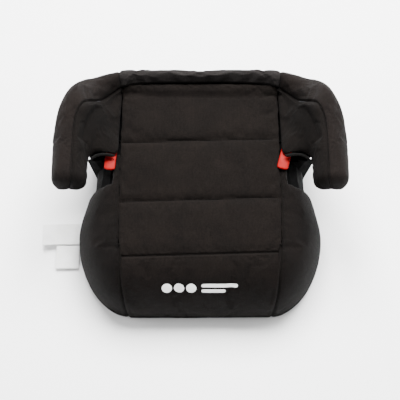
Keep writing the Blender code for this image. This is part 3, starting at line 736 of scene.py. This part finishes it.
def seat_pad():
    knots = [0.0, 0.06, 0.15, 0.3, 0.45, 0.56, 0.62, 0.665, 0.73, 0.81, 0.88, 0.94, 1.0]
    shares = split_spans(knots, 8)
    across = np.linspace(-1.0, 1.0, 55)
    coarse = np.array([[seat_surface(s, a) for a in across] for s in shares])
    run = lengths(coarse, 0)[:, coarse.shape[1] // 2]
    lines = []
    for share in channel_shares():
        at = np.interp(share, shares, run)
        lines.append(at - CHANNEL_TILT * across)
    down = run[:, None] + np.zeros_like(across)[None, :]
    near = np.min([np.abs(down - line[None, :]) for line in lines], axis=0)
    held = 1.0 - ease(0.002, 0.006, near)
    out = normals(coarse, (0, 0, 0))
    start = coarse - out * 0.0006
    moved = swell("seat_pad_form", start, (0, 0, 0), 0.006, channels=held, cap=0.0034, parts=3,
                  hold=0.005, pressure=5.0, slack=0.012)
    fine = refine(coarse, 3, 3)
    fine_across = np.linspace(-1.0, 1.0, fine.shape[1])
    fine_run = lengths(fine, 0)[:, fine.shape[1] // 2][:, None] + np.zeros_like(fine_across)[None, :]
    lift = normals(moved, (0, 0, 0))
    dip = np.zeros(moved.shape[:2])
    pucker = 0.90 + 0.10 * np.sin(fine_across * 70.0)[None, :]
    for share in channel_shares():
        at = np.interp(share, shares, run) - CHANNEL_TILT * fine_across
        dip += groove(fine_run - at[None, :], *CHANNEL_CREASE) * pucker
        dip += groove(fine_run - at[None, :], *CHANNEL_HOLLOW)
    hem = fine_run[-1, 0] - HEM_INSET
    dip += groove(fine_run - hem, 0.0012, 0.0022)
    edge = edge_distance(fine, "tlr")
    dip += groove(edge, *SEAM_CREASE) + groove(edge, SEAM_HOLLOW[0], 0.0055)
    dip = DEEPEST * np.tanh(dip / DEEPEST)
    moved = moved - lift * (dip - rumple(fine, 3, 0.0009, 0.0003))[..., None]
    lift = normals(moved, (0, 0, 0))
    floor_depth = np.minimum(CLOTH, 0.0012 + edge * 0.5)
    made = slab("seat_pad", moved, moved - lift * floor_depth[..., None], SEAT_KNIT)
    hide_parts("seat_panel")
    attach(made, "seat")
    middle = fine_run[:, 0]
    for k, share in enumerate(channel_shares()):
        at = np.interp(share, shares, run)
        places = [np.interp(at - CHANNEL_TILT * a, middle, np.arange(len(middle))) for a in fine_across]
        path = np.array([spline(moved[:, c], [p])[0] for c, p in enumerate(places)])
        ways = np.array([spline(lift[:, c], [p])[0] for c, p in enumerate(places)])
        sew(f"channel_stitching_{k + 1}", path[4:-4], ways[4:-4], sink=0.0)
    row = np.interp(hem, middle, np.arange(len(middle)))
    sew("front_hem_stitching", *(p[4:-4] for p in across_grid(moved, lift, row)), sink=0.0)
    return moved


# ---- Side panels, with the belt path's notch ----------------------------------------
SHARES = [0.0, 0.1, 0.2, 0.3, 0.4, 0.5, 0.6, 0.7, 0.81, 0.9, 1.0]
FALLS = [0.0, 0.12, 0.3, 0.5, 0.7, 0.86, 1.0]
NOTCH_ROW, STRIP_COLUMN = 8, 1


def side_panels():
    shares, falls = split_spans(SHARES, 4), split_spans(FALLS, 5)
    coarse = np.array([[side_surface(s, f) for f in falls] for s in shares])
    out = normals(coarse, (0, 0, 0))
    moved = swell("side_form", coarse - out * 0.0010, (0, 0, 0), 0.005, cap=0.0022, parts=3)
    fine = refine(coarse, 3, 3)
    rows, columns = fine.shape[0] - 1, fine.shape[1] - 1
    notch_row, strip = NOTCH_ROW * 12, STRIP_COLUMN * 15
    keep = np.ones((rows, columns), bool)
    keep[notch_row:, strip:] = False
    down, over = lengths(fine, 0), lengths(fine, 1)
    to_notch = np.where(over >= over[:, strip][:, None], np.abs(down - down[notch_row][None, :]), 9.0)
    to_strip = np.where(down >= down[notch_row][None, :], np.abs(over - over[:, strip][:, None]), 9.0)
    edge = np.minimum(edge_distance(fine, "tbl"), np.minimum(to_notch, to_strip))
    hem = np.abs(over[:, -1:] - over - HEM_INSET)
    for side, mirror in SIDES.items():
        lift = normals(moved, (0, 0, 0))
        dip = seam_dip(edge) + groove(hem, 0.0010, 0.0016)
        shape = moved - lift * (dip - rumple(fine, 11 + mirror, 0.0009, 0.0003))[..., None]
        lift = normals(shape, (0, 0, 0))
        depth = np.minimum(CLOTH, 0.0010 + edge * 0.5)
        inner = shape - lift * depth[..., None]
        # The side covers wear the seat knit darkened as painted shade.
        made = slab(f"side_cover_{side}", shape, inner, SHADED_SIDE_KNIT, keep, mirror)
        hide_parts(f"side_panel_{side}")
        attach(made, "seat")
        path, ways = down_grid(shape, lift, 2.6)
        if mirror:
            path, ways = mirrored(path, ways)
        sew(f"deck_seam_stitching_{side}", path[6:-3], ways[6:-3])
        middle = over[rows // 2]
        place = columns - np.argmin(np.abs(middle[::-1] - (middle[-1] - HEM_INSET)))
        path, ways = down_grid(shape[:notch_row - 2], lift[:notch_row - 2], place)
        if mirror:
            path, ways = mirrored(path, ways)
        sew(f"side_hem_stitching_{side}", path[4:], ways[4:])


# ---- Arm covers ---------------------------------------------------------------------
def arm_covers():
    rows = without_close_station(horseshoe(), STRAIGHT + 1)
    coarse = refine(rows, 2, 2)
    face = coarse[:, :2 * SEAM_COLUMN + 1]
    hollow = ease(0.006, 0.034, edge_distance(face, "r"))[..., None]
    face[2:, :] += ((relaxed(face, 12) - face) * hollow)[2:, :]
    tips = tip_rows(coarse[0], ARM_START_Y - TIP_Y, 7)
    coarse = np.concatenate([tips, coarse])
    seam = SEAM_COLUMN * 2
    inside = (0.19, 0.05, 0.10)
    # The inner arm faces wear the seat knit darkened as painted shade.
    parts = {"inner": (coarse[:, :seam + 1], SHADED_SIDE_KNIT, "side_cloth", "arm_inner_panel"),
             # The arm band wears the seat knit lightened as painted light.
             "band": (coarse[:, seam:], LIT_BAND_KNIT, "band_cloth", "arm_band")}
    for part, (grid, look, finish, node) in parts.items():
        grid = refine(grid, 2, 2)
        out = normals(refine(coarse, 2, 2), inside)
        out = out[:, :grid.shape[1]] if part == "inner" else out[:, -grid.shape[1]:]
        held = 1.0 - ease(0.001, 0.005, edge_distance(grid, "tblr"))
        moved = puff(f"{part}_form", grid - out * 0.0009, grid - out * 0.0060, held, 0.0026)
        fine, moved, out = refine(grid, 2, 3), refine(moved, 2, 3), refine(out, 2, 3)
        out /= np.linalg.norm(out, axis=2, keepdims=True)
        edge = edge_distance(fine, "blr")
        for side, mirror in SIDES.items():
            folds = rumple(fine, 21 + mirror + 5 * (part == "band"))
            shape = moved - out * (seam_dip(edge) - folds)[..., None]
            depth = np.minimum(CLOTH, 0.0010 + edge * 0.5)
            inner = shape - out * depth[..., None]
            made = slab(f"{node}_cover_{side}", shape, inner, look, None, mirror)
            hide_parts(f"{node}_{side}")
            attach(made, "seat")
            if part == "band":
                path, ways = down_grid(shape, out, 2.2)
                if mirror:
                    path, ways = mirrored(path, ways)
                sew(f"band_stitching_{side}", path[14:-3], ways[14:-3])


def rear_strip():
    coarse = refine(both_sides(BAND[CORNER:]), 3, 3)
    out = normals(coarse, (0, 0, 0))
    held = 1.0 - ease(0.001, 0.005, edge_distance(coarse, "tblr"))
    moved = puff("rear_form", coarse - out * 0.0008, coarse - out * 0.0055, held, 0.0022)
    fine, moved, out = refine(coarse, 4, 3), refine(moved, 4, 3), refine(out, 4, 3)
    out /= np.linalg.norm(out, axis=2, keepdims=True)
    edge = edge_distance(fine)
    shape = moved - out * (groove(edge, 0.0018, 0.0020) - rumple(fine, 31))[..., None]
    depth = np.minimum(CLOTH, 0.0010 + edge * 0.5)
    # The rear rim wears the much lighter knit as painted light and painted reflection.
    made = slab("rear_rim_cover", shape, shape - out * depth[..., None], LIT_RIM_KNIT)
    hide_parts("rear_rim_strip")
    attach(made, "seat")
    path, ways = down_grid(shape, out, 2.2)
    sew("rear_rim_stitching", path[3:-3], ways[3:-3])


BACK_STATIONS = 8        # from the back panel's side seam to the middle of the rear


def wall_covers():
    walls = both_sides(without_close_station(wall_rows(), 1))
    back_start = len(TURN_SHARES) - BACK_STATIONS
    pieces = {"back_cover": (walls[back_start:len(walls) - back_start], "back_panel", False, 41),
              "outer_side_cover_left": (walls[:back_start + 1], "outer_side_panel_left", False, 42),
              "outer_side_cover_right": (walls[:back_start + 1], "outer_side_panel_right", True, 43)}
    for name, (grid, node, mirror, seed) in pieces.items():
        fine = refine(grid, 8, 12)
        out = normals(fine, (0.1, 0.06, 0.05) if "outer" in name else (0, 0, 0.05))
        edge = edge_distance(fine)
        over = lengths(fine, 1)
        hem = np.abs(over[:, -1:] - over - HEM_INSET)
        dip = groove(edge, 0.0012, 0.0030) + groove(hem, 0.0009, 0.0020)
        folds = rumple(fine, seed, 0.0016, 0.0003, stretch=(1.0, 1.0, 0.5))
        shape = fine - out * (dip - folds - 0.0004)[..., None]
        # The wall covers wear the seat knit darkened as painted shade.
        made = slab(name, shape, shape - out * 0.0016, SHADED_SIDE_KNIT, None, mirror)
        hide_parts(node)
        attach(made, "seat")
        place = int(np.argmin(hem[len(hem) // 2]))
        path, ways = down_grid(shape, out, place)
        if mirror:
            path, ways = mirrored(path, ways)
        sew(name.replace("cover", "hem_stitching"), path[3:-3], ways[3:-3])


# ---- Rolled hems over the belt path -------------------------------------------------
HEM_OFFSET = 0.0019     # from the inner panel's edge to the middle of the hem
HEM_DROP = 0.0012       # and down from it
HEM_RADIUS = 0.0024


def belt_hems():
    for side, mirror in SIDES.items():
        flip = -1.0 if mirror else 1.0
        rings, cloth = [], []
        steps, sides = 90, 14
        path = []
        for k in range(steps + 1):
            share = 0.225 + 0.335 * k / steps
            place = along_curve(INNER_EDGE, share)
            ahead = along_curve(INNER_EDGE, share + 0.01) - place
            away = HEM_OFFSET / math.hypot(ahead[0], ahead[1])
            path.append(place + np.array([-ahead[1] * away, ahead[0] * away, -HEM_DROP]))
        path = np.array(path)
        way = np.gradient(path, axis=0)
        way /= np.linalg.norm(way, axis=1, keepdims=True)
        run = lengths(path[:, None], 0)[:, 0]
        for k in range(steps + 1):
            across = np.cross(way[k], (0.0, 0.0, 1.0))
            across /= np.linalg.norm(across)
            up = np.cross(across, way[k])
            taper = 0.45 + 0.55 * float(ease(0.0, 0.12, min(k, steps - k) / steps))
            uneven = noise.noise(Vector((run[k] * 160.0, side == "left", 0.3)))
            radius = HEM_RADIUS * taper * (1.0 + 0.10 * uneven)
            ring = []
            for t in range(sides):
                angle = t * math.tau / sides
                spot = path[k] + radius * (across * math.cos(angle) + up * math.sin(angle) * 1.15)
                ring.append((flip * spot[0], spot[1], spot[2]))
                cloth.append((run[k], radius * angle, 0.0))
            rings.append(ring)
        made = loft(f"rolled_hem_{side}", rings, BINDING, cloth)
        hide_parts(f"belt_hem_{side}")
        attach(made, "seat")


# ---- Foam under the cover -----------------------------------------------------------
SEAT_FOAM_DROP = 0.0050     # how far the foam lies under its CAD solid's skin: the seat's top,
SEAT_FOAM_FRONT = 0.0045    # the seat's front,
ARM_FOAM_DRAW = 0.0065      # and the arms' at most


def foam_pads():
    for node in ("seat_foam", "arm_foam_left", "arm_foam_right"):
        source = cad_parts[node]
        mesh = source.data.copy()
        made = bpy.data.objects.new(node.replace("foam", "foam_pad"), mesh)
        bpy.context.scene.collection.objects.link(made)
        divide = made.modifiers.new("finer", "SUBSURF")
        divide.subdivision_type = "SIMPLE"
        divide.levels = 2
        divide.render_levels = 2
        shaped = made.evaluated_get(bpy.context.evaluated_depsgraph_get())
        made.modifiers.clear()
        made.data = bpy.data.meshes.new_from_object(shaped)
        outward = [v.normal.copy() for v in made.data.vertices]
        sides = BVHTree.FromPolygons([v.co.copy() for v in made.data.vertices],
                                     [tuple(f.vertices) for f in made.data.polygons])
        for vertex, way in zip(made.data.vertices, outward):
            grain = 0.95 + 0.05 * noise.noise(vertex.co * 120.0)
            if node == "seat_foam":
                front = SEAT_FOAM_FRONT if way.y < -0.3 and vertex.co.y < BROW_Y else 0.0
                drop = SEAT_FOAM_DROP if way.z > 0.05 else 0.0
                vertex.co += Vector((0.0, front, -drop)) * grain
            elif way.z > -0.1:
                thick = sides.ray_cast(vertex.co - way * 0.0002, -way)[3] or 0.0
                vertex.co -= way * (min(ARM_FOAM_DRAW, 0.45 * thick) * grain)
        made.data.materials.clear()
        made.data.materials.append(OPEN_FOAM)
        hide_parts(node)
        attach(made, "seat")


# ---- Belt guides --------------------------------------------------------------------
GUIDE_THICK_HALF = 0.0017


def belt_guides():
    spine = [(0.0080, 0.0, 0.45), (0.0055, 0.0, 0.85), (0.0, 0.0, 1.0), (-0.0060, 0.0, 1.0),
             (-0.0080, 0.0012, 1.0), (-0.0115, 0.0056, 1.0), (-0.0145, 0.0066, 1.0),
             (-0.0270, 0.0072, 1.0), (-0.0370, 0.0068, 0.96), (-0.0395, 0.0062, 0.6)]
    steps = spline(spine, np.linspace(0, len(spine) - 1, 91))
    for side in SIDES:
        turn = math.radians(GUIDE_REST_DEG[side])
        rings, cloth = [], []
        for y, z, wide in steps:
            ring = []
            for t in range(40):
                angle = t * math.tau / 40
                c, s = math.cos(angle), math.sin(angle)
                x = GUIDE_HALF * wide * math.copysign(abs(c) ** 0.55, c)
                half = GUIDE_THICK_HALF * (1.0 - 0.18 * abs(c) ** 4)
                rise = half * math.copysign(abs(s) ** 0.6, s) + GUIDE_THICK_HALF
                rise -= 0.0006 * (x / GUIDE_HALF) ** 2
                ring.append((x, y, GUIDE_Z + z + rise))
                cloth.append((x, y, 0.0))
            rings.append(ring)
        rings = np.array(rings)
        x = rings[..., 0] * math.cos(turn) - rings[..., 1] * math.sin(turn) + PIVOT[side][0]
        y = rings[..., 0] * math.sin(turn) + rings[..., 1] * math.cos(turn) + PIVOT[side][1]
        made = loft(f"red_guide_{side}", np.stack([x, y, rings[..., 2]], axis=2), RED, cloth)
        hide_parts(f"belt_guide_{side}")
        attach(made, f"guide_{side}")


# ---- Labels and the printed motif ---------------------------------------------------
DOT_CENTRES = (-0.049, -0.031, -0.013)
DOT_RADIUS = 0.0076
BARS = ((0.002, 0.056, 0.0046), (0.002, 0.038, -0.0046))    # each bar's ends and its height
BAR_HALF = 0.0029        # half a bar's thickness
PRINT_LIFT = 0.0006      # how far the print stands off the pad


def label(name, node, corner, width, length, rise, turn_deg, thick, curl):
    """A folded tape that runs out from the cover's side, sewn in along its first column."""
    grid = np.zeros((31, 25, 3))
    for i in range(31):
        for j in range(25):
            a, b = i / 30, j / 24
            lift = rise * math.sin(a * math.pi / 2) + curl * a * a * (b - 0.5)
            lift += 0.0005 * noise.noise(Vector((a * 3.0, b * 3.0, turn_deg)))
            grid[i, j] = (-width * a, -length * b, lift)
    turn = math.radians(turn_deg)
    x = grid[..., 0] * math.cos(turn) - grid[..., 1] * math.sin(turn) + corner[0]
    y = grid[..., 0] * math.sin(turn) + grid[..., 1] * math.cos(turn) + corner[1]
    grid = np.stack([x, y, grid[..., 2] + corner[2]], axis=2)
    out = normals(grid, (corner[0], corner[1], -1.0))
    made = slab(name, grid, grid - out * thick, TAPE)
    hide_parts(node)
    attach(made, "seat")


def labels():
    label("loop_tab", "loop_label", (-0.1950, -0.0270, 0.0075), width=0.0600, length=0.0340,
          rise=0.0050, turn_deg=3.0, thick=0.0012, curl=0.0020)
    label("care_tab", "care_label", (-0.1945, -0.0640, 0.0060), width=0.0360, length=0.0370,
          rise=0.0020, turn_deg=0.0, thick=0.0008, curl=-0.0015)


def front_print(top):
    """A plain printed motif on the front: three dots and two bars, laid onto the fabric."""
    rows, columns = top.shape[:2]
    corners = [i * columns + j for i in range(rows - 1) for j in range(columns - 1)]
    faces = [[n, n + columns, n + columns + 1, n + 1] for n in corners]
    surface = BVHTree.FromPolygons([tuple(p) for p in top.reshape(-1, 3)], faces)
    outlines = []
    for centre in DOT_CENTRES:
        outlines.append([(centre + DOT_RADIUS * math.cos(t * math.tau / 28),
                          DOT_RADIUS * math.sin(t * math.tau / 28)) for t in range(28)])
    half = BAR_HALF
    for low, high, level in BARS:
        ends = [(high - half + half * math.cos(a), level + half * math.sin(a))
                for a in np.linspace(-math.pi / 2, math.pi / 2, 9)]
        starts = [(low + half + half * math.cos(a), level + half * math.sin(a))
                  for a in np.linspace(math.pi / 2, 3 * math.pi / 2, 9)]
        upper = [(x, level + half) for x in np.linspace(high - half, low + half, 14)[1:-1]]
        lower = [(x, level - half) for x in np.linspace(low + half, high - half, 14)[1:-1]]
        outlines.append(ends + upper + starts + lower)
    points, loops = [], []
    middle = np.array([0.0, -0.1500, 0.0850])
    facing = np.array([0.0, -0.55, 0.83])
    up = np.array([0.0, 0.83, 0.55])
    for outline in outlines:
        centre = np.mean(outline, axis=0)
        rings = []
        for share in (1.0, 0.75, 0.5, 0.25):
            ring = []
            for spot in outline:
                flat = centre + (np.array(spot) - centre) * share
                start = middle + np.array([flat[0], 0.0, 0.0]) + up * flat[1]
                hit = surface.ray_cast(Vector(start + facing * 0.1), Vector(-facing))[0]
                ring.append(len(points))
                points.append(np.array(hit) + facing * PRINT_LIFT)
            rings.append(ring)
        for a, b in zip(rings, rings[1:]):
            for k in range(len(a)):
                n = (k + 1) % len(a)
                loops.append([a[k], a[n], b[n], b[k]])
        loops.append(rings[-1])
    made = finish_mesh("front_print", points, loops, PRINT)
    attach(made, "seat")


# ---- Putting it together ------------------------------------------------------------
pad_top = seat_pad()
side_panels()
arm_covers()
rear_strip()
wall_covers()
belt_hems()
foam_pads()
belt_guides()
labels()
front_print(pad_top)

for node, look in (("seat_shell", SHELL), ("guide_screw_left", STEEL), ("guide_screw_right", STEEL),
                   ("guide_washer_left", STEEL), ("guide_washer_right", STEEL)):
    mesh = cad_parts[node].data
    mesh.materials.clear()
    mesh.materials.append(look)

# ---- Floor, light and camera --------------------------------------------------------
FLOOR_HALF = 6.0
floor_mesh = bpy.data.meshes.new("floor")
floor_mesh.from_pydata([(-FLOOR_HALF, -FLOOR_HALF, 0), (FLOOR_HALF, -FLOOR_HALF, 0),
                        (FLOOR_HALF, FLOOR_HALF, 0), (-FLOOR_HALF, FLOOR_HALF, 0)], [], [(0, 1, 2, 3)])
floor = bpy.data.objects.new("floor", floor_mesh)
bpy.context.scene.collection.objects.link(floor)
floor_look = Look("pale_floor", 0.9, specular=0.1)
floor_look.colour((0.97, 0.97, 0.97, 1.0))
floor_mesh.materials.append(floor_look.made)

world = bpy.data.worlds.new("studio")
bpy.context.scene.world = world
world.use_nodes = True
world.node_tree.nodes["Background"].inputs["Color"].default_value = (1.0, 1.0, 1.0, 1.0)
world.node_tree.nodes["Background"].inputs["Strength"].default_value = 0.5


def softbox(name, place, target, size, watts):
    data = bpy.data.lights.new(name, "AREA")
    data.shape = "RECTANGLE"
    data.size, data.size_y = size
    data.energy = watts
    made = bpy.data.objects.new(name, data)
    bpy.context.scene.collection.objects.link(made)
    made.location = place
    made.rotation_euler = (Vector(target) - Vector(place)).to_track_quat("-Z", "Y").to_euler()


softbox("overhead", (0.15, 1.0, 1.85), (0.0, 0.0, 0.1), (1.6, 1.1), 300.0)
softbox("left_fill", (-1.7, 0.1, 1.2), (0.0, 0.0, 0.1), (1.0, 1.4), 22.0)
softbox("right_fill", (1.7, 0.2, 1.2), (0.0, 0.0, 0.1), (1.0, 1.4), 18.0)

CAMERA_ELEVATION = math.radians(70.0)
CAMERA_DISTANCE = 1.28
CAMERA_TARGET = Vector((0.0, -0.019, 0.10))
camera_data = bpy.data.cameras.new("camera")
camera_data.lens = 75.5
camera_data.sensor_width = 36.0
camera = bpy.data.objects.new("camera", camera_data)
bpy.context.scene.collection.objects.link(camera)
camera.location = CAMERA_TARGET + CAMERA_DISTANCE * Vector(
    (0.0, -math.cos(CAMERA_ELEVATION), math.sin(CAMERA_ELEVATION)))
camera.rotation_euler = (math.radians(90.0) - CAMERA_ELEVATION, 0.0, 0.0)
bpy.context.scene.camera = camera
